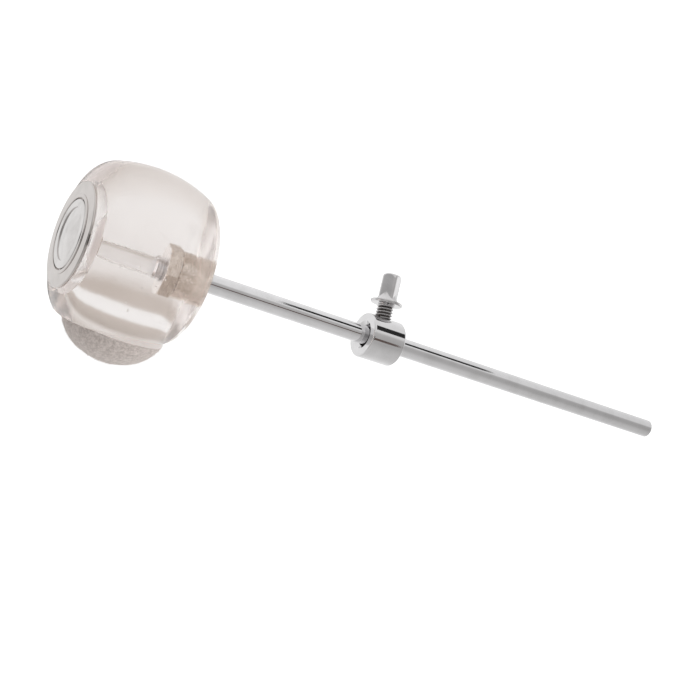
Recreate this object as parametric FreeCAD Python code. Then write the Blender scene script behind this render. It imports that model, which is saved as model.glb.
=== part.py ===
import FreeCAD, Part
import math
import os

# A bass drum beater, upright: the rod stands along +Z with its free end at the origin,
# the head is on top, and the felt striking side faces +X. All lengths are in millimetres.

# Rod: bright chromed steel, turned down to a threaded stud inside the head.
rod_diameter = 6.5
rod_free_length = 201.8
rod_end_chamfer = 0.6
stud_diameter = 5.0
stud_overhang = 2.4
stud_chamfer = 0.5

# Threaded insert: brass sleeve cast into the head, flush with its back face.
insert_diameter = 9.8
insert_length = 9.1
insert_groove_width = 1.2
insert_groove_depth = 0.3
insert_groove_height = 4.4
insert_chamfer = 0.5

# Lock nut: thin hexagon nut on the stud, against the inner end of the insert.
nut_across_flats = 10.2
nut_thickness = 3.6
nut_chamfer_angle = math.radians(30)

# Head body: a turned barrel of clear plastic whose axis stands a little behind the rod's.
# A crowned side runs into a round at each end, and a round flat land carries the felt.
head_diameter = 56.5
head_length = 39.5
head_setback = 0.95
head_crown_radius = 43.5
head_crown_height = 20.2
head_back_round = 6.6
head_front_round = 9.0
head_flat_offset = 23.2
core_hole_diameter = 4.0

# Striking pad: a felt nose turned about the striking axis. A tip arc ends at an angle
# from that axis and runs on into a flank arc that meets the rim.
pad_diameter = 33.6
pad_depth = 11.0
pad_tip_radius = 19.9
pad_tip_angle = math.radians(34.7)
pad_below_crown = 3.0

# End cap: chromed shallow cup let into the front of the head, standing a little out of it.
# Its ring rises gently from a narrow rim to a bead round its middle.
cap_diameter = 34.2
cap_seat_depth = 4.8
cap_stand = 1.25
cap_rim_width = 0.7
cap_rim_round = 0.4
cap_ring_rise = 0.15
cap_bead_width = 1.3
cap_bead_height = 0.3
cap_bead_round = 0.28
cap_floor_thickness = 1.5
cap_skirt_thickness = 1.5
cap_seat_gap = 0.12
spigot_diameter = 9.0
spigot_length = 2.0
spigot_chamfer = 0.4

# Medallion: plain round plate in the cap's well, with a turned step and a domed middle.
medallion_diameter = 22.4
medallion_thickness = 1.5
medallion_edge_round = 0.4
medallion_gap = 0.4
medallion_ring_width = 2.6
medallion_step = 0.35
medallion_dome_height = 0.6
well_depth = 1.2

# Lock collar: chromed ring that slides on the rod, with a tapped cross hole on one side.
collar_diameter = 15.6
collar_length = 13.0
collar_bore_play = 0.6
collar_edge_round = 0.7
collar_bore_chamfer = 1.1
collar_height = 127.3
collar_turn = math.radians(-162)
cross_hole_mouth = 0.5

# Key screw: square head for a drum key over a round flange, stored backed off from the rod.
# The flats of the square run out in a concave flare above the flange.
screw_thread_diameter = 6.0
screw_thread_play = 0.05
screw_tip_gap = 0.75
screw_tip_chamfer = 0.5
screw_bare_length = 4.7
flange_diameter = 11.0
flange_thickness = 1.1
flange_edge_round = 0.35
square_width = 5.5
square_corner_diameter = 6.9
square_height = 9.7
square_top_round = 1.5
square_turn = math.radians(-53)
flare_height = 3.4
flare_width = 1.4

# One overrun serves every cut.
overrun = 1.0

rod_radius = rod_diameter / 2
stud_radius = stud_diameter / 2
head_back = rod_free_length
head_front = head_back + head_length
head_crown = head_back + head_crown_height
nut_base = head_back + insert_length
stud_end = nut_base + nut_thickness + stud_overhang
cap_rim_top = head_front + cap_stand
cap_seat = head_front - cap_seat_depth
cap_ring_top = cap_rim_top + cap_ring_rise
cap_well_floor = cap_ring_top - well_depth
cap_hollow_top = cap_well_floor - cap_floor_thickness
collar_radius = collar_diameter / 2
pad_height = head_crown - pad_below_crown

origin = FreeCAD.Vector(0, 0, 0)
rod_axis = FreeCAD.Vector(0, 0, 1)
striking_axis = FreeCAD.Vector(1, 0, 0)
upright_to_striking = FreeCAD.Rotation(rod_axis, striking_axis)


def spot(radius, height):
    """A point of the half plane that is turned about the rod's axis."""
    return FreeCAD.Vector(radius, 0, height)


def line(start, end):
    """A straight edge."""
    return Part.LineSegment(start, end).toShape()


def arc(centre, radius, first_angle, last_angle):
    """An arc in the half plane, with angles from the radial direction towards +Z."""
    angles = (first_angle, (first_angle + last_angle) / 2, last_angle)
    spots = [centre + spot(radius * math.cos(a), radius * math.sin(a)) for a in angles]
    return Part.Arc(*spots).toShape()


def turned(edges):
    """The solid that a closed run of edges sweeps about the Z axis."""
    full_turn = 360
    return Part.Face(Part.Wire(edges)).revolve(origin, rod_axis, full_turn)


def rounded_outline(corners):
    """Edges of a closed outline whose corners are (radius, height) or (radius, height, round)."""
    places = [spot(corner[0], corner[1]) for corner in corners]
    rounds = [corner[2] if len(corner) > 2 else 0 for corner in corners]
    starts, ends, edges = [], [], []
    for i, place in enumerate(places):
        to_last = (places[i - 1] - place).normalize()
        to_next = (places[(i + 1) % len(places)] - place).normalize()
        half = to_last.getAngle(to_next) / 2
        reach = rounds[i] / math.tan(half)
        starts.append(place + to_last * reach)
        ends.append(place + to_next * reach)
        if rounds[i] > 0:
            inward = (to_last + to_next).normalize()
            middle = place + inward * (rounds[i] / math.sin(half) - rounds[i])
            edges.append(Part.Arc(starts[i], middle, ends[i]).toShape())
    for i, end in enumerate(ends):
        edges.append(line(end, starts[(i + 1) % len(starts)]))
    return Part.__sortEdges__(edges)


def rod():
    """Plain rod with a chamfered free end, a square shoulder at the head and a chamfered stud."""
    return turned(rounded_outline([
        (0, 0),
        (rod_radius - rod_end_chamfer, 0),
        (rod_radius, rod_end_chamfer),
        (rod_radius, head_back),
        (stud_radius, head_back),
        (stud_radius, stud_end - stud_chamfer),
        (stud_radius - stud_chamfer, stud_end),
        (0, stud_end),
    ]))


def threaded_insert():
    """Sleeve round the stud, with a groove that the plastic of the head locks into."""
    radius = insert_diameter / 2
    groove_radius = radius - insert_groove_depth
    groove_base = head_back + insert_groove_height
    groove_top = groove_base + insert_groove_width
    return turned(rounded_outline([
        (stud_radius, head_back),
        (radius, head_back),
        (radius, groove_base),
        (groove_radius, groove_base),
        (groove_radius, groove_top),
        (radius, groove_top),
        (radius, nut_base - insert_chamfer),
        (radius - insert_chamfer, nut_base),
        (stud_radius, nut_base),
    ]))


def lock_nut():
    """Hexagon nut whose corners are turned away at both faces."""
    sides = 6
    flat_radius = nut_across_flats / 2
    corner_radius = flat_radius / math.cos(math.pi / sides)
    corners = [
        FreeCAD.Vector(
            corner_radius * math.cos(2 * math.pi * k / sides),
            corner_radius * math.sin(2 * math.pi * k / sides),
            nut_base,
        )
        for k in range(sides + 1)
    ]
    hexagon = Part.Face(Part.makePolygon(corners)).extrude(rod_axis * nut_thickness)
    drop = (corner_radius - flat_radius) * math.tan(nut_chamfer_angle)
    nut_top = nut_base + nut_thickness
    envelope = turned(rounded_outline([
        (stud_radius, nut_base),
        (flat_radius, nut_base),
        (corner_radius, nut_base + drop),
        (corner_radius, nut_top - drop),
        (flat_radius, nut_top),
        (stud_radius, nut_top),
    ]))
    return hexagon.common(envelope)


def on_head_axis(shape):
    """Carries a shape turned about the rod's axis back to the barrel's own axis."""
    return shape.translate(striking_axis * -head_setback)


def barrel():
    """The head's outer form: back face, back round, crowned side, front round, front face."""
    crown_centre = spot(head_diameter / 2 - head_crown_radius, head_crown)

    def round_centre(height, radius):
        rise = height - head_crown
        return spot(crown_centre.x + math.sqrt((head_crown_radius - radius) ** 2 - rise ** 2), height)

    back_centre = round_centre(head_back + head_back_round, head_back_round)
    front_centre = round_centre(head_front - head_front_round, head_front_round)
    back_angle = math.atan2(back_centre.z - head_crown, back_centre.x - crown_centre.x)
    front_angle = math.atan2(front_centre.z - head_crown, front_centre.x - crown_centre.x)
    quarter = math.pi / 2
    return on_head_axis(turned([
        line(spot(0, head_front), spot(0, head_back)),
        line(spot(0, head_back), spot(back_centre.x, head_back)),
        arc(back_centre, head_back_round, -quarter, back_angle),
        arc(crown_centre, head_crown_radius, back_angle, front_angle),
        arc(front_centre, head_front_round, front_angle, quarter),
        line(spot(front_centre.x, head_front), spot(0, head_front)),
    ]))


def head_body(cast_in):
    """The barrel with its felt's land, its cap seat, its core hole and what is cast into it."""
    land = Part.makeCylinder(pad_diameter / 2, head_flat_offset, spot(0, pad_height), striking_axis)
    flat_cut = Part.makeBox(
        head_diameter,
        head_diameter + overrun,
        head_length + 2 * overrun,
        FreeCAD.Vector(head_flat_offset, -(head_diameter + overrun) / 2, head_back - overrun),
    )
    seat_cut = Part.makeCylinder(
        cap_diameter / 2 + cap_seat_gap, cap_seat_depth + overrun, spot(-head_setback, cap_seat)
    )
    spigot_cut = Part.makeCylinder(
        spigot_diameter / 2 + cap_seat_gap,
        spigot_length + cap_seat_gap + overrun,
        spot(-head_setback, cap_seat - spigot_length - cap_seat_gap),
    )
    core_cut = Part.makeCylinder(core_hole_diameter / 2, cap_seat - stud_end, spot(0, stud_end))
    body = barrel().fuse(land)
    for tool in (flat_cut, seat_cut, spigot_cut, core_cut, *cast_in):
        body = body.cut(tool)
    return body


def striking_pad():
    """Felt nose: drawn upright about Z from its base, then laid over to face the striking side."""
    rim = spot(pad_diameter / 2, 0)
    tip_centre = spot(0, pad_depth - pad_tip_radius)
    joint_angle = math.pi / 2 - pad_tip_angle
    outward = spot(math.cos(joint_angle), math.sin(joint_angle))
    joint = tip_centre + outward * pad_tip_radius
    to_rim = rim - joint
    flank_radius = -to_rim.dot(to_rim) / (2 * to_rim.dot(outward))
    flank_centre = joint - outward * flank_radius
    rim_angle = math.atan2(rim.z - flank_centre.z, rim.x - flank_centre.x)
    nose = turned([
        line(origin, rim),
        arc(flank_centre, flank_radius, rim_angle, joint_angle),
        arc(tip_centre, pad_tip_radius, joint_angle, math.pi / 2),
        line(spot(0, pad_depth), origin),
    ])
    nose.Placement = FreeCAD.Placement(spot(head_flat_offset, pad_height), upright_to_striking)
    return nose


def end_cap():
    """Cup with a skirt, a narrow rim, a rising ring, a bead round its well and a spigot behind."""
    radius = cap_diameter / 2
    skirt_radius = radius - cap_skirt_thickness
    well_radius = medallion_diameter / 2 + medallion_gap
    bead_top = cap_ring_top + cap_bead_height
    spigot_radius = spigot_diameter / 2
    spigot_base = cap_seat - spigot_length
    return on_head_axis(turned(rounded_outline([
        (0, spigot_base),
        (spigot_radius - spigot_chamfer, spigot_base),
        (spigot_radius, spigot_base + spigot_chamfer),
        (spigot_radius, cap_hollow_top),
        (skirt_radius, cap_hollow_top),
        (skirt_radius, cap_seat),
        (radius, cap_seat),
        (radius, cap_rim_top, cap_rim_round),
        (radius - cap_rim_width, cap_rim_top),
        (well_radius + cap_bead_width, cap_ring_top),
        (well_radius + cap_bead_width, bead_top, cap_bead_round),
        (well_radius, bead_top, cap_bead_round),
        (well_radius, cap_well_floor),
        (0, cap_well_floor),
    ])))


def cap_medallion():
    """Plate with a raised outer ring, a turned step and a low dome in the middle."""
    radius = medallion_diameter / 2
    top = cap_well_floor + medallion_thickness
    dome_radius = radius - medallion_ring_width
    dome_base = top - medallion_step
    dome_sphere = (dome_radius ** 2 + medallion_dome_height ** 2) / (2 * medallion_dome_height)
    plate = turned(rounded_outline([
        (0, cap_well_floor),
        (radius, cap_well_floor),
        (radius, top, medallion_edge_round),
        (dome_radius, top, medallion_step / 2),
        (dome_radius, dome_base),
        (0, dome_base),
    ]))
    dome_centre = spot(0, dome_base + medallion_dome_height - dome_sphere)
    rim_angle = math.acos(dome_radius / dome_sphere)
    dome = turned([
        line(spot(0, dome_base), spot(dome_radius, dome_base)),
        arc(dome_centre, dome_sphere, rim_angle, math.pi / 2),
        line(spot(0, dome_base + medallion_dome_height), spot(0, dome_base)),
    ])
    return on_head_axis(plate.fuse(dome).removeSplitter())


def on_collar(shape):
    """Carries a shape drawn round the origin, with the cross hole along +X, to the collar's place."""
    turn = FreeCAD.Rotation(rod_axis, math.degrees(collar_turn))
    placed = shape.copy()
    placed.Placement = FreeCAD.Placement(spot(0, collar_height), turn).multiply(shape.Placement)
    return placed


def across(shape):
    """Lays a shape drawn about the Z axis over onto the cross hole's axis."""
    placed = shape.copy()
    placed.Placement = FreeCAD.Placement(origin, upright_to_striking)
    return placed


def lock_collar():
    """Round-edged ring with a chamfered bore and one cross hole with a chamfered mouth."""
    half_length = collar_length / 2
    bore_radius = rod_radius + collar_bore_play
    chamfer_radius = bore_radius + collar_bore_chamfer
    chamfer_height = half_length - collar_bore_chamfer
    ring = turned(rounded_outline([
        (bore_radius, -chamfer_height),
        (chamfer_radius, -half_length),
        (collar_radius, -half_length, collar_edge_round),
        (collar_radius, half_length, collar_edge_round),
        (chamfer_radius, half_length),
        (bore_radius, chamfer_height),
    ]))
    hole_radius = screw_thread_diameter / 2 + screw_thread_play
    mouth_radius = hole_radius + cross_hole_mouth
    hole_edge = math.sqrt(collar_radius ** 2 - mouth_radius ** 2)
    mouth_depth = hole_edge - cross_hole_mouth
    outside = collar_radius + overrun
    hole = turned(rounded_outline([
        (0, 0),
        (hole_radius, 0),
        (hole_radius, mouth_depth),
        (mouth_radius, hole_edge),
        (mouth_radius, outside),
        (0, outside),
    ]))
    return on_collar(ring.cut(across(hole)))


def flare(base, foot):
    """Round run-out of the square's flats, from its own base up over the foot that it stands on."""
    inner = square_width / 2
    outer = inner + flare_width
    top = foot + flare_height
    radius = (flare_height ** 2 + flare_width ** 2) / (2 * flare_width)
    foot_angle = math.pi + math.asin(flare_height / radius)
    return turned([
        line(spot(0, base), spot(outer, base)),
        line(spot(outer, base), spot(outer, foot)),
        arc(spot(inner + radius, top), radius, foot_angle, math.pi),
        line(spot(inner, top), spot(0, top)),
        line(spot(0, top), spot(0, base)),
    ])


def key_screw():
    """Thread blank, round flange and flared square head in one piece, along the cross hole's axis."""
    thread_radius = screw_thread_diameter / 2
    tip = rod_radius + screw_tip_gap
    flange_base = collar_radius + screw_bare_length
    flange_top = flange_base + flange_thickness
    square_top = flange_top + square_height
    shank = turned(rounded_outline([
        (0, tip),
        (thread_radius - screw_tip_chamfer, tip),
        (thread_radius, tip + screw_tip_chamfer),
        (thread_radius, flange_base),
        (flange_diameter / 2, flange_base, flange_edge_round),
        (flange_diameter / 2, flange_top, flange_edge_round),
        (0, flange_top),
    ]))
    envelope = turned(rounded_outline([
        (0, flange_base),
        (square_corner_diameter / 2, flange_base),
        (square_corner_diameter / 2, square_top, square_top_round),
        (0, square_top),
    ]))
    square = Part.makeBox(
        square_width,
        square_width,
        square_top - flange_base,
        FreeCAD.Vector(-square_width / 2, -square_width / 2, flange_base),
    )
    square.rotate(origin, rod_axis, math.degrees(square_turn))
    head = square.common(envelope).fuse(flare(flange_base, flange_top))
    screw = shank.fuse(head).removeSplitter()
    return on_collar(across(screw))


rod_piece = rod()
insert_piece = threaded_insert()
nut_piece = lock_nut()
pieces = {
    "rod": rod_piece,
    "threaded_insert": insert_piece,
    "lock_nut": nut_piece,
    "head_body": head_body((rod_piece, insert_piece, nut_piece)),
    "striking_pad": striking_pad(),
    "end_cap": end_cap(),
    "cap_medallion": cap_medallion(),
    "lock_collar": lock_collar(),
    "key_screw": key_screw(),
}

os.makedirs("parts", exist_ok=True)
for name, shape in pieces.items():
    print(name, "solids", len(shape.Solids), "valid", shape.isValid(), "mm3", round(shape.Volume, 1))
    shape.exportStep(os.path.join("parts", name + ".step"))
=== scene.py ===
import math
import random

import bmesh
import bpy
from mathutils import Matrix, Vector, noise


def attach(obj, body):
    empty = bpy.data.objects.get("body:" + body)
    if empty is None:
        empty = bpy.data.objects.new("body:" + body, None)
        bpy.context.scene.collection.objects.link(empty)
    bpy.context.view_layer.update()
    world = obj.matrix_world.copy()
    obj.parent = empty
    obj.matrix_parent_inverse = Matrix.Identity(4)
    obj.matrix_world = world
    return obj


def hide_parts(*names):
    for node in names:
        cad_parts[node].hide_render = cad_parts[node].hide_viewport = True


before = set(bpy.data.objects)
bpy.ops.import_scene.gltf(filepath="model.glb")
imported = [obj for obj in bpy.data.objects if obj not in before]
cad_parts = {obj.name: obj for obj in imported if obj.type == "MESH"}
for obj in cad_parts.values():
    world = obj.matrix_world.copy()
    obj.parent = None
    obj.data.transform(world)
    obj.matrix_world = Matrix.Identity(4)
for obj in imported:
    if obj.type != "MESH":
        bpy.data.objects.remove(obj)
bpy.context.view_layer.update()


# Rod: cold-drawn steel of about a quarter inch, chromed after grinding, with a chamfered end.
# Its head end is turned down to a stud with a rolled thread that screws into the head.
mm = 0.001
rod_top = 201.8 * mm
rod_radius = 3.25 * mm
rod_chamfer = 0.6 * mm
rod_end_round = 0.15 * mm
rod_edge_round = 0.3 * mm
rod_sides = 128
stud_radius = 2.5 * mm
stud_end = rod_top + 15.1 * mm
stud_chamfer = 0.5 * mm
stud_pitch = 0.8 * mm
stud_thread_depth = 0.45 * mm
stud_thread_base = rod_top + 12.3 * mm
stud_thread_top = stud_end - stud_chamfer
stud_thread_fade = 0.3 * mm
stud_thread_steps = 14
chrome_light = (0.78, 0.775, 0.785, 1)
chrome_dull = (0.71, 0.705, 0.71, 1)


class Shade:
    """A socket of a node tree that can stand in sums and products, and that can add nodes."""

    def __init__(self, tree, socket=None):
        self.tree = tree
        self.socket = socket

    def node(self, kind, settings=None, inputs=None, output=0):
        """Adds a node: first its settings, then the values or links of its sockets."""
        node = self.tree.nodes.new(kind)
        for name, value in (settings or {}).items():
            if name == "stops":
                ramp = node.color_ramp.elements
                while len(ramp) < len(value):
                    ramp.new(1)
                for element, (place, colour) in zip(ramp, value):
                    element.position = place
                    element.color = colour
            else:
                setattr(node, name, value)
        for name, value in (inputs or {}).items():
            if isinstance(value, Shade):
                self.tree.links.new(value.socket, node.inputs[name])
            else:
                node.inputs[name].default_value = value
        return Shade(self.tree, node.outputs[output])

    def math(self, operation, *values):
        return self.node("ShaderNodeMath", {"operation": operation}, dict(enumerate(values)))

    def __add__(self, other):
        return self.math("ADD", self, other)

    def __sub__(self, other):
        return self.math("SUBTRACT", self, other)

    def __rsub__(self, other):
        return self.math("SUBTRACT", other, self)

    def __mul__(self, other):
        return self.math("MULTIPLY", self, other)

    def __truediv__(self, other):
        return self.math("DIVIDE", self, other)

    __radd__ = __add__
    __rmul__ = __mul__

    def span(self, low, high):
        """0 below low, 1 above high and even between them."""
        inputs = {"Value": self, "From Min": low, "From Max": high}
        return self.node("ShaderNodeMapRange", {"clamp": True}, inputs)

    def past(self, zone):
        """The same for a value in millimetres and a zone given as two lengths."""
        low, high = zone
        return self.span(low / mm, high / mm)

    def colour(self, low, high):
        """A colour that goes from low to high as this value goes from 0 to 1."""
        settings = {"data_type": "RGBA", "clamp_factor": True}
        return self.node("ShaderNodeMix", settings, {0: self, 6: low, 7: high}, output=2)

    def place(self, stretch=(1, 1, 1)):
        """The piece's own coordinates in millimetres, stretched along its axes."""
        spot = self.node("ShaderNodeTexCoord", output=3)
        scale = tuple(s / mm for s in stretch)
        settings = {"operation": "MULTIPLY"}
        return self.node("ShaderNodeVectorMath", settings, {0: spot, 1: scale})

    def along(self, direction):
        """How far this vector reaches along a direction."""
        settings = {"operation": "DOT_PRODUCT"}
        return self.node("ShaderNodeVectorMath", settings, {0: self, 1: tuple(direction)}, output=1)

    def noise(self, spot, scale, detail=3, roughness=0.55):
        inputs = {"Vector": spot, "Scale": scale, "Detail": detail, "Roughness": roughness}
        return self.node("ShaderNodeTexNoise", {"noise_dimensions": "3D"}, inputs)

    def bump(self, height, strength, distance):
        inputs = {"Height": height, "Strength": strength, "Distance": distance}
        return self.node("ShaderNodeBump", None, inputs)


def new_finish(name):
    """An empty node material and the start of its shading."""
    finish = bpy.data.materials.new(name)
    finish.use_nodes = True
    finish.node_tree.nodes.clear()
    return finish, Shade(finish.node_tree)


def surface(shade, inputs, volume=None):
    """Closes a material with a principled surface and, where given, a volume."""
    body = shade.node("ShaderNodeBsdfPrincipled", None, inputs)
    ends = {"Surface": body}
    if volume:
        ends["Volume"] = volume
    output = shade.tree.nodes.new("ShaderNodeOutputMaterial")
    for name, end in ends.items():
        shade.tree.links.new(end.socket, output.inputs[name])


def chrome(name, light, dull, grain, roughness, painted_shade_at=None):
    """Bright plating: faint clouding, fine rubbing marks along grain and a few duller patches.
    An optional function of the shade may give where shade is painted on: darker, less metallic and
    rougher there."""
    mark_depth = 0.02 * mm
    # The colour of shade painted into hollows such as a thread's roots.
    painted_root_shade = (0.07, 0.06, 0.055, 1)
    finish, shade = new_finish(name)
    clouds = shade.noise(shade.place(), 0.16, detail=4)
    marks = shade.noise(shade.place(grain), 1.0, detail=5, roughness=0.7)
    worn = clouds.span(0.42, 0.72)
    low, high = roughness
    spread = high - low
    inputs = {
        "Base Color": worn.colour(light, dull),
        "Metallic": 1.0,
        "Roughness": worn * spread * 0.6 + marks.span(0.3, 0.8) * spread * 0.4 + low,
        "Normal": shade.bump(marks, 0.05, mark_depth),
    }
    if painted_shade_at:
        painted_shade_mask = painted_shade_at(shade)
        inputs["Base Color"] = painted_shade_mask.colour(inputs["Base Color"], painted_root_shade)
        inputs["Metallic"] = 1 - painted_shade_mask * 0.6
        inputs["Roughness"] = inputs["Roughness"] + painted_shade_mask * 0.25
    surface(shade, inputs)
    return finish


def rounded(corners, steps=8):
    """Stations (radius, height) of an outline whose corners may carry a round, with close
    neighbours beside each corner so that smooth shading stays on the corner."""
    beside = 0.06 * mm
    needed_room = 4
    places = [Vector(corner[:2]) for corner in corners]
    rounds = [corner[2] if len(corner) > 2 else 0 for corner in corners]
    stations = []
    for i, place in enumerate(places):
        last, after = places[i - 1], places[(i + 1) % len(places)]
        to_last = (last - place).normalized() if i else None
        to_next = (after - place).normalized() if i < len(places) - 1 else None
        reach = 0
        if rounds[i]:
            half = to_last.angle(to_next) / 2
            reach = rounds[i] / math.tan(half)
        if to_last and (last - place).length > needed_room * (reach + beside):
            stations.append(place + to_last * (reach + beside))
        if rounds[i]:
            middle = place + (to_last + to_next).normalized() * (rounds[i] / math.sin(half))
            first = place + to_last * reach - middle
            swing = first.angle_signed(place + to_next * reach - middle)
            for k in range(steps + 1):
                stations.append(middle + Matrix.Rotation(-swing * k / steps, 2) @ first)
        else:
            stations.append(place)
        if to_next and (after - place).length > needed_room * (reach + beside):
            stations.append(place + to_next * (reach + beside))
    return [(max(station.x, 0), station.y) for station in stations]


def turned(name, outline, sides, radius_at=None):
    """A mesh turned about Z from stations (radius, height). radius_at(radius, height, angle)
    may shape a station's ring."""
    same_place = 1e-7
    shape = bmesh.new()
    rings = []
    for radius, height in outline:
        ring = []
        for k in range(sides if radius > 0 else 1):
            angle = 2 * math.pi * k / sides
            reach = radius_at(radius, height, angle) if radius_at and radius > 0 else radius
            ring.append(shape.verts.new((reach * math.cos(angle), reach * math.sin(angle), height)))
        rings.append(ring)
    for lower, upper in zip(rings, rings[1:]):
        for k in range(sides):
            n = (k + 1) % sides
            corners = list(dict.fromkeys((
                lower[k % len(lower)], lower[n % len(lower)],
                upper[n % len(upper)], upper[k % len(upper)],
            )))
            if len(corners) > 2:
                shape.faces.new(corners)
    bmesh.ops.remove_doubles(shape, verts=shape.verts[:], dist=same_place)
    mesh = bpy.data.meshes.new(name)
    shape.to_mesh(mesh)
    shape.free()
    piece = bpy.data.objects.new(name, mesh)
    bpy.context.scene.collection.objects.link(piece)
    return piece


def smooth(piece, edge=35):
    """Smooth shading that keeps edges sharper than the given angle."""
    piece.data.shade_smooth()
    piece.data.set_sharp_from_angle(angle=math.radians(edge))


def fit(piece, body, node, finish):
    """Gives a piece its finish, rides it on its body and lets it stand for its solid."""
    piece.data.materials.clear()
    piece.data.materials.append(finish)
    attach(piece, body)
    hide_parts(node)


def thread_radius(depth, pitch, start, end, run_out):
    """A function for a right-hand thread's radius, faded over run_out at both ends."""
    def at(radius, height, angle):
        turn = (height / pitch - angle / (2 * math.pi)) % 1
        groove = 0.5 + 0.5 * math.cos(2 * math.pi * turn)
        fade_in = min(1, max(0, (height - start) / run_out))
        fade_out = min(1, max(0, (end - height) / run_out))
        return radius - depth * groove * fade_in * fade_out
    return at


stud_stations = [
    (stud_radius, stud_thread_base + k * stud_pitch / stud_thread_steps)
    for k in range(round((stud_thread_top - stud_thread_base) / stud_pitch * stud_thread_steps))
]
steel_rod = turned("steel_rod", [
    *rounded([
        (0, 0),
        (rod_radius - rod_chamfer, 0, rod_end_round),
        (rod_radius, rod_chamfer, rod_edge_round),
        (rod_radius, rod_top),
        (stud_radius, rod_top),
        (stud_radius, stud_thread_base),
    ]),
    *stud_stations,
    (stud_radius, stud_thread_top),
    (stud_radius - stud_chamfer, stud_end),
    (0, stud_end),
], rod_sides, thread_radius(
    stud_thread_depth, stud_pitch, stud_thread_base, stud_thread_top, stud_thread_fade
))
smooth(steel_rod)
fit(steel_rod, "beater", "rod", chrome(
    "drawn_chrome", chrome_light, chrome_dull, grain=(2.2, 2.2, 0.05), roughness=(0.035, 0.11)
))


# Threaded insert: a turned brass sleeve with a diamond knurl and a locking groove.
# The clear head is cast round it, and the rod's stud is screwed into it.
insert_radius = 4.9 * mm
insert_end = rod_top + 9.1 * mm
insert_groove = (rod_top + 4.4 * mm, rod_top + 5.6 * mm)
insert_groove_depth = 0.3 * mm
insert_chamfer = 0.5 * mm
knurl_start = rod_top + 0.6 * mm
knurl_depth = 0.02 * mm
knurl_teeth = 38
knurl_lead = 20.0 * mm
insert_sides = 360
insert_steps = 120
brass_pale = (0.95, 0.87, 0.80, 1)
brass_deep = (0.44, 0.36, 0.29, 1)
brass_share = 0.85
brass_relief = 0.05 * mm


def knurled(radius, height, angle):
    """The insert's wall: two crossing sets of slanted grooves, kept off the ends and the groove."""
    base, end = insert_groove
    if base < height < end:
        return radius - insert_groove_depth
    if radius < insert_radius or height < knurl_start:
        return radius
    slant = 2 * math.pi * (height - rod_top) / knurl_lead
    ridges = sum(math.cos(knurl_teeth * (angle + turn * slant)) for turn in (1, -1))
    return radius - knurl_depth * (0.5 - 0.25 * ridges)


knurled_insert = turned("knurled_insert", [
    (stud_radius, rod_top),
    (insert_radius, rod_top),
    *[
        (insert_radius, rod_top + (insert_end - insert_chamfer - rod_top) * k / insert_steps)
        for k in range(1, insert_steps + 1)
    ],
    (insert_radius - insert_chamfer, insert_end),
    (stud_radius, insert_end),
], insert_sides, knurled)
smooth(knurled_insert, edge=50)
brass, shade = new_finish("cast_in_brass")
tarnish = shade.noise(shade.place(), 1.6, detail=6, roughness=0.7)
speckle = shade.noise(shade.place(), 2.6, detail=3, roughness=0.6)
stain = tarnish.span(0.4, 0.65) * 0.4 + speckle.span(0.48, 0.6) * 0.6
surface(shade, {
    "Base Color": stain.colour(brass_pale, brass_deep),
    "Metallic": brass_share,
    "Roughness": tarnish.span(0.2, 0.8) * 0.16 + 0.1,
    "Normal": shade.bump(speckle, 0.1, brass_relief),
})
fit(knurled_insert, "beater", "threaded_insert", brass)


# Lock nut: a thin hexagon nut run down the stud onto the insert before the head is cast.
# Sawn from hexagon bar and chamfered on both faces.
nut_half_width = 5.1 * mm
nut_base = insert_end
nut_top = nut_base + 3.6 * mm
nut_chamfer = math.radians(30)
nut_bevel_steps = 4
nut_sides = 180
# Painted highlight on the nut: from this distance off its middle out to both faces, the chamfered
# edges are coloured pale, as if lit bright.
nut_painted_highlight_band = (1.6 * mm, 1.75 * mm)
nut_painted_highlight = (0.95, 0.92, 0.9, 1)
nut_streak_depth = 0.04 * mm
nut_corner = nut_half_width / math.cos(math.pi / 6)
nut_drop = (nut_corner - nut_half_width) * math.tan(nut_chamfer)


def hexagon(radius, height, angle):
    """A ring's radius cut back to the nut's flats."""
    across = (angle + math.pi / 6) % (math.pi / 3) - math.pi / 6
    return min(radius, nut_half_width / math.cos(across)) if radius > stud_radius else radius


nut_bevel = []
for k in range(nut_bevel_steps + 1):
    share = k / nut_bevel_steps
    nut_bevel.append((nut_half_width + (nut_corner - nut_half_width) * share, nut_drop * share))
hexagon_nut = turned("hexagon_nut", [
    (stud_radius, nut_base),
    *[(reach, nut_base + lift) for reach, lift in nut_bevel],
    *[(reach, nut_top - lift) for reach, lift in reversed(nut_bevel)],
    (stud_radius, nut_top),
], nut_sides, hexagon)
smooth(hexagon_nut, edge=20)
nut_brass, shade = new_finish("nut_brass")
streaks = shade.noise(shade.place((0.6, 0.6, 5.0)), 1.0, detail=4)
nut_middle = (nut_base + nut_top) / 2
off_middle = shade.math("ABSOLUTE", shade.place().along((0, 0, 1)) - nut_middle / mm)
# Painted highlight: a pale colour along both chamfered edges of the nut.
painted_edge_highlight = off_middle.past(nut_painted_highlight_band)
surface(shade, {
    "Base Color": painted_edge_highlight.colour(
        streaks.span(0.3, 0.75).colour(brass_pale, brass_deep), nut_painted_highlight
    ),
    "Metallic": brass_share,
    "Roughness": streaks.span(0.2, 0.8) * 0.2 + 0.18,
    "Normal": shade.bump(streaks, 0.2, nut_streak_depth),
})
fit(hexagon_nut, "beater", "lock_nut", nut_brass)


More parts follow.
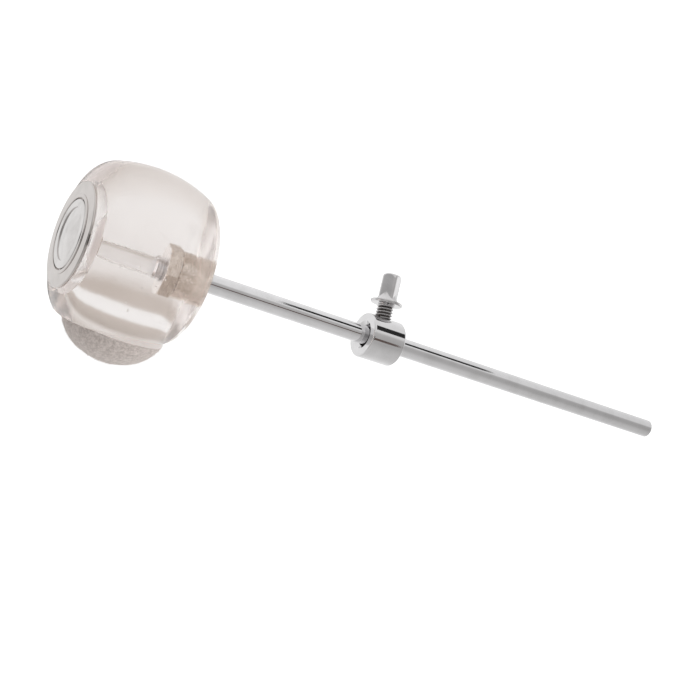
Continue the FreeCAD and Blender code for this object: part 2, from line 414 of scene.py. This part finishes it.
# Head body: a solid barrel of clear plastic cast in a mould round the insert and nut, then
# polished. Its axis stands a little behind the rod's, and a round flat land carries the felt.
head_radius = 28.25 * mm
head_length = 39.5 * mm
head_setback = 0.95 * mm
crown_radius = 43.5 * mm
crown_height = rod_top + 20.2 * mm
back_round = 6.6 * mm
front_round = 9.0 * mm
land_offset = 23.2 * mm
land_radius = 16.8 * mm
land_height = crown_height - 3.0 * mm
land_sides = 192
glue_depth = 0.05 * mm
glue_radius = land_radius - 0.1 * mm
back_depth = 0.4 * mm
back_sides = 180
head_front = rod_top + head_length
cap_seat = head_front - 4.8 * mm
cap_radius = 17.1 * mm
core_radius = 2.0 * mm
core_top = cap_seat - 1.0 * mm
core_wall = core_radius + 0.01 * mm
seat_gap = 0.12 * mm
spigot_radius = 4.5 * mm
spigot_length = 2.0 * mm
seat_air = 0.05 * mm
shoulder_rise = 0.45 * mm
shoulder_start = math.radians(64)
head_sides = 256
flat_steps, back_steps, crown_steps, front_steps = 8, 20, 56, 22
close = 1e-6
clear_tint = (0.99, 0.985, 0.982, 1)
clear_dust = (0.965, 0.957, 0.953, 1)
clear_mark = (0.88, 0.86, 0.85, 1)
clear_absorption = (0.909, 0.855, 0.838, 1)
clear_density = 8.0
clear_share = 0.93
clear_ior = 1.49
clear_relief = 0.6 * mm
wall_ior = 1.12
crazed_zone = (-13.0 * mm, -7.0 * mm)
calm_zone = (-5.0 * mm, -2.0 * mm)
bubble_count = 22
bubble_radius = (0.1 * mm, 0.25 * mm)
bubble_heights = (stud_end - 3.0 * mm, head_front - 9.0 * mm)
bubble_reaches = (3.0 * mm, 14.0 * mm)
bubble_seed = 5


def bow(centre, radius, first, last, steps):
    """Stations along an arc, with angles from the radial direction towards the axis's top."""
    angles = [first + (last - first) * k / steps for k in range(steps + 1)]
    return [(centre.x + radius * math.cos(a), centre.y + radius * math.sin(a)) for a in angles]


def barrel_outline():
    """The barrel from its back to its front face, and down into the cap's seat."""
    crown = Vector((head_radius - crown_radius, crown_height))

    def round_centre(height, radius):
        off_crown = height - crown_height
        reach = math.sqrt((crown_radius - radius) ** 2 - off_crown ** 2)
        return Vector((crown.x + reach, height))

    back = round_centre(rod_top + back_round, back_round)
    front = round_centre(head_front - front_round, front_round)
    back_angle = math.atan2(back.y - crown.y, back.x - crown.x)
    front_angle = math.atan2(front.y - crown.y, front.x - crown.x)
    shoulder = []
    arc = bow(front, front_round, front_angle, math.pi / 2, front_steps)[1:]
    for k, (reach, height) in enumerate(arc, 1):
        angle = front_angle + (math.pi / 2 - front_angle) * k / front_steps
        share = max(0, (angle - shoulder_start) / (math.pi / 2 - shoulder_start))
        shoulder.append((reach, height + shoulder_rise * share ** 2))
    seat_radius = cap_radius + seat_gap
    seat_floor = cap_seat - seat_air
    spigot_floor = seat_floor - spigot_length - seat_gap
    return [
        (0, rod_top),
        *[(back.x * k / flat_steps, rod_top) for k in range(1, flat_steps)],
        *bow(back, back_round, -math.pi / 2, back_angle, back_steps),
        *bow(crown, crown_radius, back_angle, front_angle, crown_steps)[1:],
        *shoulder,
        (seat_radius, head_front + shoulder_rise),
        (seat_radius, seat_floor),
        (spigot_radius + seat_gap, seat_floor),
        (spigot_radius + seat_gap, spigot_floor),
        (0, spigot_floor),
    ]


def cut(piece, tool, operation="DIFFERENCE"):
    """Cuts a closed tool out of a piece, or joins it on, and removes the tool."""
    change = piece.modifiers.new("cut", "BOOLEAN")
    change.object = tool
    change.operation = operation
    change.solver = "EXACT"
    bpy.context.view_layer.update()
    shaped = piece.evaluated_get(bpy.context.evaluated_depsgraph_get())
    mesh = bpy.data.meshes.new_from_object(shaped)
    piece.modifiers.clear()
    old = piece.data
    piece.data = mesh
    bpy.data.meshes.remove(old)
    bpy.data.objects.remove(tool)


def plug(radius, base, top, sides=128):
    """A closed cylinder along Z, used as a tool."""
    return turned("tool", [(0, base), (radius, base), (radius, top), (0, top)], sides)


to_striking = Matrix.Rotation(math.pi / 2, 4, "Y")
on_land = Matrix.Translation((0, 0, land_height)) @ to_striking
on_head_axis = Matrix.Translation((-head_setback, 0, 0))
clear_head = turned("clear_head", barrel_outline(), head_sides)
clear_head.data.transform(on_head_axis)
land = plug(land_radius, 0, land_offset, land_sides)
land.data.transform(on_land)
cut(clear_head, land, "UNION")
beyond_land = plug(2 * head_radius, land_offset, 2 * head_radius)
beyond_land.data.transform(on_land)
cut(clear_head, beyond_land)
cut(clear_head, plug(core_radius, stud_end, core_top))
cut(clear_head, plug(insert_radius, rod_top - back_depth, rod_top + back_depth, back_sides))
glue = plug(glue_radius, land_offset - glue_depth, land_offset + head_radius, land_sides)
glue.data.transform(on_land)
cut(clear_head, glue)
shape = bmesh.new()
shape.from_mesh(clear_head.data)
hidden = []
for face in shape.faces:
    middle = face.calc_center_median()
    off_axis = math.hypot(middle.x, middle.y)
    in_back = rod_top + close < middle.z < rod_top + back_depth + close
    in_insert = in_back and off_axis < insert_radius + close
    on_stud = off_axis < core_radius and abs(middle.z - stud_end) < close
    under_felt = abs(middle.x - land_offset + glue_depth) < close
    if in_insert or on_stud or under_felt:
        hidden.append(face)
bmesh.ops.delete(shape, geom=hidden, context="FACES")
draws = random.Random(bubble_seed)
for _ in range(bubble_count):
    along_core = draws.uniform(*bubble_heights)
    turn = draws.uniform(0, 2 * math.pi)
    off_core = draws.uniform(*bubble_reaches)
    place = Matrix.Translation((off_core * math.cos(turn), off_core * math.sin(turn), along_core))
    radius = draws.uniform(*bubble_radius)
    made = bmesh.ops.create_icosphere(shape, subdivisions=2, radius=radius, matrix=place)
    bubble = {face for vertex in made["verts"] for face in vertex.link_faces}
    bmesh.ops.reverse_faces(shape, faces=list(bubble))
shape.to_mesh(clear_head.data)
shape.free()
smooth(clear_head, edge=25)
clear_plastic, shade = new_finish("clear_cast_plastic")
ripple = shade.noise(shade.place(), 0.09, detail=2)
dust = shade.noise(shade.place(), 0.35, detail=5, roughness=0.7)
streaks = shade.noise(shade.place((0.55, 0.55, 0.03)), 1.0, detail=4, roughness=0.6)
crazing = shade.noise(shade.place((0.12, 0.12, 1.3)), 1.0, detail=5, roughness=0.75)
thin = shade.noise(shade.place((0.9, 0.9, 0.12)), 1.0, detail=3, roughness=0.5)
blots = shade.noise(shade.place(), 0.12, detail=2)
scratches = (1 - shade.math("ABSOLUTE", thin - 0.5).span(0.004, 0.02)) * blots.span(0.48, 0.62)
up_rod = shade.place().along((0, 0, 1)) - head_front / mm
by_cap = up_rod.past(calm_zone)
crazed = crazing * up_rod.past(crazed_zone)
relief = (ripple * 0.5 + streaks * 0.4 + crazed * 0.03) * (1 - by_cap)
surface(shade, {
    "Base Color": scratches.colour(dust.span(0.5, 0.8).colour(clear_tint, clear_dust), clear_mark),
    "Transmission Weight": clear_share,
    "IOR": clear_ior,
    "Roughness": dust.span(0.4, 0.8) * 0.06 + streaks.span(0.5, 0.75) * 0.05 + 0.05,
    "Normal": shade.bump(relief, 0.12, clear_relief),
}, shade.node("ShaderNodeVolumeAbsorption", None, {
    "Color": clear_absorption,
    "Density": clear_density,
}))
fit(clear_head, "beater", "head_body", clear_plastic)
drilled_wall, shade = new_finish("drilled_wall")
scuff = shade.noise(shade.place((1.0, 1.0, 0.15)), 1.2, detail=4)
surface(shade, {
    "Base Color": scuff.colour(clear_dust, clear_tint),
    "Transmission Weight": clear_share,
    "IOR": wall_ior,
    "Roughness": scuff.span(0.3, 0.7) * 0.2 + 0.3,
})
clear_head.data.materials.append(drilled_wall)
for face in clear_head.data.polygons:
    in_core = math.hypot(face.center.x, face.center.y) < core_wall and face.center.z > stud_end
    face.material_index = int(in_core)


# Striking pad: a nose of dense pressed wool felt, ground to shape and glued on the head's land.
# Its face is slightly lumpy, and short fibres stand out of it.
pad_depth = 11.0 * mm
pad_tip_radius = 19.9 * mm
pad_tip_angle = math.radians(34.7)
pad_gap = 0.02 * mm
pad_base = land_offset + 0.1 * mm
pad_sides = 160
base_steps, flank_steps, tip_steps = 10, 34, 44
lumps = ((3.0 * mm, 0.16 * mm), (0.9 * mm, 0.10 * mm))
lump_sink = 0.12 * mm
lump_start = 0.3 * mm
fibre_start = 0.2 * mm
fibre_count = 4200
fibre_length = (0.5 * mm, 1.3 * mm)
fibre_rise = (0.15, 0.6)
fibre_root = 0.05 * mm
fibre_width = 0.03 * mm
fibre_taper = (1.0, 0.8, 0.25)
fibre_ridge = 1.6
felt_pale = (0.82, 0.74, 0.70, 1)
felt_deep = (0.44, 0.38, 0.35, 1)
felt_sheen = (1.0, 0.96, 0.93, 1)
felt_relief = 0.5 * mm
glue_smeared = (0.84, 0.79, 0.77, 1)
glue_clean = (0.90, 0.86, 0.84, 1)
# The glue under the felt glows: this emission is painted light, standing in for light that reaches
# it through the clear head.
painted_glow_colour = (1.0, 0.95, 0.93, 1)
painted_glow_strength = 0.31
wool_deep = (0.60, 0.56, 0.53, 1)
wool_pale = (0.80, 0.77, 0.75, 1)
felt_seed = 11


def nose_outline():
    """The felt's outline from the middle of its base to its tip."""
    tip = Vector((0, pad_depth - pad_tip_radius))
    joint_angle = math.pi / 2 - pad_tip_angle
    outward = Vector((math.cos(joint_angle), math.sin(joint_angle)))
    joint = tip + outward * pad_tip_radius
    rim = Vector((land_radius, 0))
    to_rim = rim - joint
    flank_radius = -to_rim.dot(to_rim) / (2 * to_rim.dot(outward))
    flank = joint - outward * flank_radius
    rim_angle = math.atan2(rim.y - flank.y, rim.x - flank.x)
    return [
        (0, pad_gap),
        *[(land_radius * k / base_steps, pad_gap) for k in range(1, base_steps)],
        *bow(flank, flank_radius, rim_angle, joint_angle, flank_steps),
        *bow(tip, pad_tip_radius, joint_angle, math.pi / 2, tip_steps)[1:-1],
        (0, pad_depth),
    ]


felt_nose = turned("felt_nose", nose_outline(), pad_sides)
for vertex in felt_nose.data.vertices:
    if vertex.co.z > lump_start:
        lump = sum(noise.noise(vertex.co / size) * height for size, height in lumps)
        vertex.co += vertex.normal * (lump - lump_sink)
felt_nose.data.transform(Matrix.Translation((land_offset, 0, land_height)) @ to_striking)
smooth(felt_nose, edge=60)

draws = random.Random(felt_seed)
nose_mesh = felt_nose.data
skin = [face for face in nose_mesh.polygons if face.center.x > land_offset + fibre_start]
areas = [face.area for face in skin]
fibres = bmesh.new()
for face in draws.choices(skin, areas, k=fibre_count):
    corners = [nose_mesh.vertices[i].co for i in face.vertices]
    shares = [draws.random() for _ in corners]
    root = sum((c * s for c, s in zip(corners, shares)), Vector()) / sum(shares)
    lean = Vector((draws.gauss(0, 1), draws.gauss(0, 1), draws.gauss(0, 1)))
    lie = (lean - face.normal * lean.dot(face.normal)).normalized()
    length = draws.uniform(*fibre_length)
    rise = draws.uniform(*fibre_rise)
    spine = [
        root - face.normal * fibre_root,
        root + lie * length * 0.5 + face.normal * length * rise * 0.7,
        root + lie * length * 0.9 + face.normal * length * rise,
    ]
    aside = lie.cross(face.normal)
    rows = []
    for point, width in zip(spine, fibre_taper):
        half = fibre_width * width / 2
        rows.append([
            fibres.verts.new(point + aside * half),
            fibres.verts.new(point - aside * half),
            fibres.verts.new(point + face.normal * half * fibre_ridge),
        ])
    for lower, upper in zip(rows, rows[1:]):
        for k in range(3):
            n = (k + 1) % 3
            fibres.faces.new((lower[k], lower[n], upper[n], upper[k]))
fibre_mesh = bpy.data.meshes.new("felt_fibres")
fibres.to_mesh(fibre_mesh)
fibres.free()
felt_fibres = bpy.data.objects.new("felt_fibres", fibre_mesh)
bpy.context.scene.collection.objects.link(felt_fibres)

felt, shade = new_finish("pressed_felt")
wool = shade.noise(shade.place(), 0.9, detail=6, roughness=0.75)
hairs = shade.noise(shade.place((1.0, 3.0, 1.5)), 1.8, detail=4, roughness=0.65)
blotch = wool.span(0.4, 0.62) * 0.65 + hairs.span(0.4, 0.65) * 0.35
surface(shade, {
    "Base Color": blotch.colour(felt_deep, felt_pale),
    "Roughness": 0.95,
    "Sheen Weight": 0.35,
    "Sheen Roughness": 0.5,
    "Sheen Tint": felt_sheen,
    "Normal": shade.bump(wool * 0.6 + hairs * 0.4, 0.7, felt_relief),
})
fit(felt_nose, "beater", "striking_pad", felt)
# The glue under the felt has its own smeared colour, and its emission is painted light that
# brightens it as seen through the clear head.
felt_glue_painted_glow, shade = new_finish("felt_glue_painted_glow")
smear = shade.noise(shade.place(), 0.4, detail=4)
surface(shade, {
    "Base Color": smear.span(0.3, 0.7).colour(glue_smeared, glue_clean),
    "Roughness": 0.7,
    "Emission Color": painted_glow_colour,
    "Emission Strength": painted_glow_strength,
})
felt_nose.data.materials.append(felt_glue_painted_glow)
for face in felt_nose.data.polygons:
    face.material_index = int(face.center.x < pad_base)
loose_wool, shade = new_finish("loose_wool")
strand = shade.noise(shade.place(), 0.8, detail=3)
surface(shade, {
    "Base Color": strand.span(0.3, 0.7).colour(wool_deep, wool_pale),
    "Roughness": 0.9,
})
felt_fibres.data.materials.append(loose_wool)
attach(felt_fibres, "beater")


# End cap: a turned and chromed shallow cup let into the front of the head, located by a spigot.
# Its ring rises gently from a narrow rim to a bead round the well for the medallion.
spigot_end = cap_seat - spigot_length
spigot_chamfer = 0.4 * mm
cap_rim_top = head_front + 1.25 * mm
cap_rim_width = 0.7 * mm
cap_rim_round = 0.4 * mm
cap_ring_top = cap_rim_top + 0.15 * mm
cap_bead_width = 1.3 * mm
cap_bead_top = cap_ring_top + 0.3 * mm
cap_bead_round = 0.28 * mm
cap_well_floor = cap_ring_top - 1.2 * mm
cap_hollow_top = cap_well_floor - 1.5 * mm
skirt_radius = cap_radius - 1.5 * mm
well_radius = 11.6 * mm
cap_sides = 256
cap_light = (0.58, 0.545, 0.525, 1)
cap_dull = (0.52, 0.49, 0.47, 1)
glue_top = head_front + 0.35 * mm
# Over this height, the glue on the cap's side turns from painted shade to painted light.
cap_painted_glow_zone = (cap_seat + 2.4 * mm, cap_seat + 3.6 * mm)
cap_painted_shade_tints = ((0.80, 0.74, 0.72, 1), (0.97, 0.96, 0.96, 1))
cap_painted_glow_colours = ((0.40, 0.36, 0.35, 1), (1.0, 1.0, 1.0, 1))
cap_painted_glow_strength = 0.76
disc_cap = turned("disc_cap", rounded([
    (0, spigot_end),
    (spigot_radius - spigot_chamfer, spigot_end),
    (spigot_radius, spigot_end + spigot_chamfer),
    (spigot_radius, cap_hollow_top),
    (skirt_radius, cap_hollow_top),
    (skirt_radius, cap_seat),
    (cap_radius, cap_seat),
    (cap_radius, glue_top),
    (cap_radius, cap_rim_top, cap_rim_round),
    (cap_radius - cap_rim_width, cap_rim_top),
    (well_radius + cap_bead_width, cap_ring_top),
    (well_radius + cap_bead_width, cap_bead_top, cap_bead_round),
    (well_radius, cap_bead_top, cap_bead_round),
    (well_radius, cap_well_floor),
    (0, cap_well_floor),
]), cap_sides)
disc_cap.data.transform(on_head_axis)
smooth(disc_cap)
fit(disc_cap, "beater", "end_cap", chrome(
    "cap_plating", cap_light, cap_dull, grain=(1.2, 1.2, 1.2), roughness=(0.05, 0.16)
))
# The glue on the cap's side and underside carries painted shade and painted light: darker and
# warmer low in the seat, white and glowing brighter higher up, with a faint smear of its own.
cap_glue_painted_glow, shade = new_finish("cap_glue_painted_glow")
smear = shade.noise(shade.place(), 0.4, detail=4)
painted_glow_rise = shade.place().along((0, 0, 1)).past(cap_painted_glow_zone)
surface(shade, {
    "Base Color": (painted_glow_rise * 0.8 + smear.span(0.3, 0.7) * 0.2).colour(*cap_painted_shade_tints),
    "Roughness": 0.7,
    "Emission Color": painted_glow_rise.colour(*cap_painted_glow_colours),
    "Emission Strength": cap_painted_glow_strength,
})
disc_cap.data.materials.append(cap_glue_painted_glow)
for face in disc_cap.data.polygons:
    face.material_index = int(face.center.z < glue_top and face.normal.z < 0.5)


# Medallion: a plain turned plate pressed into the cap's well, chromed, with a raised outer
# ring, a step and a low domed middle.
medallion_radius = 11.2 * mm
medallion_top = cap_well_floor + 1.5 * mm
medallion_ring = 2.6 * mm
medallion_step = 0.35 * mm
medallion_dome = 0.6 * mm
medallion_round = 0.4 * mm
step_round = 0.17 * mm
dome_steps = 24
medallion_light = (0.66, 0.64, 0.63, 1)
medallion_dull = (0.54, 0.52, 0.51, 1)
dome_edge = medallion_radius - medallion_ring
dome_base = medallion_top - medallion_step
dome_sphere = (dome_edge ** 2 + medallion_dome ** 2) / (2 * medallion_dome)
dome_angle = math.acos(dome_edge / dome_sphere)
dome_top = dome_base + medallion_dome
dome_centre = Vector((0, dome_top - dome_sphere))
plain_medallion = turned("plain_medallion", [
    *rounded([
        (0, cap_well_floor),
        (medallion_radius, cap_well_floor),
        (medallion_radius, medallion_top, medallion_round),
        (dome_edge, medallion_top, step_round),
        (dome_edge, dome_base),
    ]),
    *bow(dome_centre, dome_sphere, dome_angle, math.pi / 2, dome_steps)[1:-1],
    (0, dome_top),
], cap_sides)
plain_medallion.data.transform(on_head_axis)
smooth(plain_medallion)
fit(plain_medallion, "beater", "cap_medallion", chrome(
    "turned_chrome", medallion_light, medallion_dull, grain=(0.8, 0.8, 2.0), roughness=(0.07, 0.2)
))


# Lock collar: a turned and chromed ring that slides on the rod and marks the beater's height.
# A tapped cross hole on one side takes the key screw.
collar_height = 127.3 * mm
collar_turn = math.radians(-162)
collar_radius = 7.8 * mm
collar_half = 6.5 * mm
collar_bore = 3.85 * mm
collar_round = 0.7 * mm
bore_chamfer = 1.1 * mm
screw_radius = 3.0 * mm
hole_play = 0.05 * mm
hole_mouth = 0.5 * mm
hole_end = collar_radius + 1.0 * mm
hole_sides = 128
collar_sides = 192
collar_light = (0.74, 0.735, 0.74, 1)
collar_dull = (0.68, 0.675, 0.68, 1)
collar_place = Matrix.Translation((0, 0, collar_height)) @ Matrix.Rotation(collar_turn, 4, "Z")
ring_outline = rounded([
    (collar_bore, 0),
    (collar_bore, -collar_half + bore_chamfer),
    (collar_bore + bore_chamfer, -collar_half),
    (collar_radius, -collar_half, collar_round),
    (collar_radius, collar_half, collar_round),
    (collar_bore + bore_chamfer, collar_half),
    (collar_bore, collar_half - bore_chamfer),
    (collar_bore, 0),
], steps=10)
chromed_collar = turned("chromed_collar", ring_outline, collar_sides)
hole_radius = screw_radius + hole_play
mouth_radius = hole_radius + hole_mouth
hole_edge = math.sqrt(collar_radius ** 2 - mouth_radius ** 2)
hole = turned("tool", [
    (0, 0),
    (hole_radius, 0),
    (hole_radius, hole_edge - hole_mouth),
    (mouth_radius, hole_edge),
    (mouth_radius, hole_end),
    (0, hole_end),
], hole_sides)
hole.data.transform(to_striking)
cut(chromed_collar, hole)
chromed_collar.data.transform(collar_place)
smooth(chromed_collar)
fit(chromed_collar, "collar", "lock_collar", chrome(
    "collar_chrome", collar_light, collar_dull, grain=(0.5, 0.5, 2.5), roughness=(0.03, 0.1)
))


# Key screw: forged with a square head for a drum key over a round flange, with a rolled
# thread, and chromed. It is backed off from the rod here.
screw_tip = rod_radius + 0.75 * mm
tip_chamfer = 0.5 * mm
flange_base = collar_radius + 4.7 * mm
flange_thickness = 1.1 * mm
flange_radius = 5.5 * mm
flange_round = 0.35 * mm
square_half = 2.75 * mm
square_corner = 3.45 * mm
square_height = 9.7 * mm
square_turn = math.radians(-53)
square_sharpness = 24
square_top_round = 1.5 * mm
flare_height = 3.4 * mm
flare_width = 1.4 * mm
flare_radius = (flare_height ** 2 + flare_width ** 2) / (2 * flare_width)
screw_pitch = 1.06 * mm
screw_thread_depth = 0.65 * mm
screw_thread_fade = 0.5 * mm
screw_sides = 192
shank_base = screw_tip + tip_chamfer
shank_top = flange_base - 0.1 * mm
shank_steps = 150
flange_top = flange_base + flange_thickness
flare_base = flange_top + 0.01 * mm
flare_top = flange_top + flare_height
flare_steps = 40
square_base = flare_top + 0.1 * mm
square_top = flange_top + square_height
root_radii = (2.4 * mm, 2.9 * mm)
root_ends = (flange_base - 0.3 * mm, flange_base - 0.1 * mm)
screw_light = (0.68, 0.67, 0.675, 1)
screw_dull = (0.58, 0.57, 0.57, 1)
shank_thread = thread_radius(
    screw_thread_depth, screw_pitch, shank_base, shank_top, screw_thread_fade
)


def screw_form(radius, height, angle):
    """The screw's ring at a height: thread below the flange, above it a rounded square whose
    flats run out in a flare."""
    if height < flange_base:
        return shank_thread(radius, height, angle)
    if height < flare_base:
        return radius
    across = (angle - square_turn + math.pi / 4) % (math.pi / 2) - math.pi / 4
    flat = square_half / math.cos(across)
    both = radius ** -square_sharpness + flat ** -square_sharpness
    reach = both ** (-1 / square_sharpness)
    below = flare_top - height
    if below > 0:
        flare = flare_radius - math.sqrt(flare_radius ** 2 - below ** 2)
        reach = max(reach, square_half + flare)
    return reach


shank_stations = [
    (screw_radius, shank_base + (shank_top - shank_base) * k / shank_steps)
    for k in range(shank_steps + 1)
]
flare_stations = [
    (square_corner, flare_base + flare_height * k / flare_steps)
    for k in range(flare_steps + 1)
]
key_screw = turned("key_screw_chrome", [
    (0, screw_tip),
    (screw_radius - tip_chamfer, screw_tip),
    *shank_stations,
    *rounded([
        (screw_radius, flange_base),
        (flange_radius, flange_base, flange_round),
        (flange_radius, flange_top, flange_round),
        (square_half + flare_width, flange_top),
    ]),
    *flare_stations,
    *rounded([
        (square_corner, square_base),
        (square_corner, square_top, square_top_round),
        (0, square_top),
    ], steps=10),
], screw_sides, screw_form)
key_screw.data.transform(collar_place @ to_striking)
smooth(key_screw, edge=40)


def thread_roots(shade):
    """Where the thread's grooves lie, which take painted shade: close to the screw's axis and below
    its flange.
    """
    spot = shade.place()
    side = spot.along((-math.sin(collar_turn), math.cos(collar_turn), 0))
    height = spot.along((0, 0, 1)) - collar_height / mm
    off_axis = shade.math("SQRT", side * side + height * height)
    out = spot.along((math.cos(collar_turn), math.sin(collar_turn), 0))
    return (1 - off_axis.past(root_radii)) * (1 - out.past(root_ends))


fit(key_screw, "screw", "key_screw", chrome(
    "screw_chrome", screw_light, screw_dull,
    grain=(1.5, 1.5, 1.5), roughness=(0.06, 0.16), painted_shade_at=thread_roots,
))


# Floor: a plain pale sheet well below the rod's free end, which a pedal would hold.
# The plating and the clear head don't show it: they have the soft surround instead.
floor_drop = 0.25
floor_half = 3.0
paper_light = (0.92, 0.92, 0.92, 1)
paper_dull = (0.90, 0.90, 0.90, 1)
paper_lift = 0.5
white = (1, 1, 1, 1)
four_corners = ((-1, -1), (1, -1), (1, 1), (-1, 1))
one_face = [(0, 1, 2, 3)]
floor_mesh = bpy.data.meshes.new("floor")
floor_mesh.from_pydata(
    [(x * floor_half, y * floor_half, -floor_drop) for x, y in four_corners], [], one_face
)
floor = bpy.data.objects.new("floor", floor_mesh)
bpy.context.scene.collection.objects.link(floor)
paper, shade = new_finish("white_paper")
fine = shade.noise(shade.place(), 0.002, detail=2)
surface(shade, {
    "Base Color": fine.colour(paper_dull, paper_light),
    "Roughness": 0.9,
    "Emission Color": white,
    "Emission Strength": paper_lift,
})
floor_mesh.materials.append(paper)
floor.visible_glossy = False
floor.visible_transmission = False


# Surround: the soft light of a white tent, told by the angle in degrees round the rod, dimmer
# towards the camera and with a dim panel low at the back. Light through the clear head has
# its own levels, fitted to the photo's tones. Four dark cards show in the plating alone.
to_top = Vector((-0.9903, -0.1392, 0))
to_back = Vector((0.1392, -0.9903, 0))
tent = [
    (-180, 0.50), (-160, 0.52), (-143, 0.61), (-130, 0.66), (-116, 0.69),
    (-84, 0.74), (-63, 0.83), (-35, 1.0), (60, 0.98), (85, 0.92),
    (140, 0.86), (145, 0.76), (152, 0.56), (170, 0.50), (180, 0.50),
]
through_head = [
    (-180, 0.76), (-150, 0.68), (-112, 0.44), (-75, 0.58), (-35, 0.85), (-26, 0.93),
    (-16, 0.93), (0, 0.91), (8, 0.89), (16, 0.56), (22, 0.56), (24, 0.96),
    (32, 0.98), (34, 0.57), (45, 0.42), (52, 0.80), (70, 0.56), (102, 0.50),
    (112, 0.90), (156, 0.92), (161, 0.30), (168, 0.30), (173, 0.80), (180, 0.76),
]
tent_warmth, head_warmth = 0.1, 1.0
lost_green, lost_blue = 0.28, 0.48
bend_rise, bend = 0.225, 0.082
panel_angle = 5
panel_depth = 0.6
black = (0.01, 0.01, 0.01, 1)
soot = (0.02, 0.02, 0.02, 1)
brown_deep = (0.10, 0.07, 0.06, 1)
brown_pale = (0.13, 0.09, 0.08, 1)
card_distance = 0.3
overhead_height = 0.6
overhead_reach = to_back * 0.22
overhead_side = to_top * 0.04
surround = bpy.data.worlds.new("surround")
bpy.context.scene.world = surround
surround.use_nodes = True
surround.node_tree.nodes.clear()
shade = Shade(surround.node_tree)
look = shade.node("ShaderNodeTexCoord", output=0)
round_rod = shade.math("ARCTAN2", look.along(to_top), look.along(to_back)) / (2 * math.pi) + 0.5
rise = look.along((0, 0, 1))


def ramp(levels, turn, warmth):
    """The surround's light at an angle round the rod, from levels that grow warmer as they dim."""
    stops = []
    for angle, level in levels:
        dim = max(0, 1 - level) * warmth
        green, blue = level * (1 - lost_green * dim), level * (1 - lost_blue * dim)
        stops.append((angle / 360 + 0.5, (level, green, blue, 1)))
    return shade.node("ShaderNodeValToRGB", {"stops": stops}, {0: turn})


seen = shade.node("ShaderNodeLightPath", output="Is Camera Ray")
through = shade.node("ShaderNodeLightPath", output="Is Transmission Ray")
arched = (rise + bend_rise) * (rise + bend_rise) * bend
glow = through.colour(
    ramp(tent, round_rod, tent_warmth), ramp(through_head, round_rod - arched, head_warmth)
)
low_dim = 0.84 + rise.span(-0.67, -0.45) * 0.16
roof_dim = 1 - rise.span(0.70, 0.93) * 0.42
ground_lift = (1 - rise.span(-0.95, -0.85)) * 0.3
off_panel = shade.math("ABSOLUTE", round_rod * 360 - (180 + panel_angle))
panel_band = rise.span(-0.3, -0.22) * (1 - rise.span(0.02, 0.12))
back_panel = (1 - off_panel.span(11, 17)) * panel_band
tent_level = (low_dim * roof_dim + ground_lift) * (1 - back_panel * panel_depth)
head_level = 1 + rise.span(0.25, 0.5) * 0.2
level = shade.math("MAXIMUM", seen, through * head_level + (1 - through) * tent_level)
light = shade.node("ShaderNodeBackground", None, {
    "Color": seen.colour(glow, white),
    "Strength": level,
})
world_end = surround.node_tree.nodes.new("ShaderNodeOutputWorld")
surround.node_tree.links.new(light.socket, world_end.inputs["Surface"])


def dark_card(name, corners, deep, pale):
    """A matt card that only bright plating mirrors."""
    mesh = bpy.data.meshes.new(name)
    mesh.from_pydata(corners, [], one_face)
    card = bpy.data.objects.new(name, mesh)
    bpy.context.scene.collection.objects.link(card)
    finish, shade = new_finish(name)
    grain = shade.noise(shade.place(), 0.02, detail=2)
    surface(shade, {"Base Color": grain.colour(deep, pale), "Roughness": 0.9})
    mesh.materials.append(finish)
    card.visible_camera = False
    card.visible_diffuse = False
    card.visible_transmission = False
    card.visible_shadow = False


def standing(degrees, half_width, low, high):
    """Corners of an upright card, at an angle from the camera's side towards the top."""
    angle = math.radians(degrees)
    out = to_top * math.sin(angle) - to_back * math.cos(angle)
    side = out.cross(Vector((0, 0, 1))) * half_width
    return [
        out * card_distance + side * across + Vector((0, 0, height))
        for across, height in ((-1, low), (1, low), (1, high), (-1, high))
    ]


dark_card("dark_strip", standing(58.5, 0.062, -0.129, 0.019), black, soot)
dark_card("brown_strip", standing(-2, 0.027, -0.055, 0.075), brown_deep, brown_pale)
dark_card("rim_strip", standing(0, 0.058, 0.1, 0.25), black, soot)
dark_card("overhead_card", [
    overhead_reach * far + overhead_side * across + Vector((0, 0, overhead_height))
    for far, across in four_corners
], black, soot)


# Camera: stands in front of the rod and looks down along it, turned so that the head is at
# the left and the striking side is below.
image_size = 680
focal_pixels = 1423.5
sensor_width = 36
light_bounces = 32
camera_data = bpy.data.cameras.new("camera")
camera_data.sensor_width = sensor_width
camera_data.lens = sensor_width * focal_pixels / image_size
camera_data.clip_start = 0.01
camera = bpy.data.objects.new("camera", camera_data)
bpy.context.scene.collection.objects.link(camera)
view_right = Vector((-0.37189, 0.41262, -0.83153))
view_up = Vector((-0.92026, -0.28137, 0.27195))
view_back = Vector((-0.12176, 0.86636, 0.48435))
camera_place = Vector((-0.054656, 0.419373, 0.375591))
view_turn = Matrix((view_right, view_up, view_back)).transposed().to_4x4()
camera.matrix_world = Matrix.Translation(camera_place) @ view_turn
bpy.context.scene.camera = camera
bpy.context.scene.view_settings.view_transform = "Standard"
bpy.context.scene.cycles.max_bounces = light_bounces
bpy.context.scene.cycles.glossy_bounces = light_bounces
bpy.context.scene.cycles.transmission_bounces = light_bounces
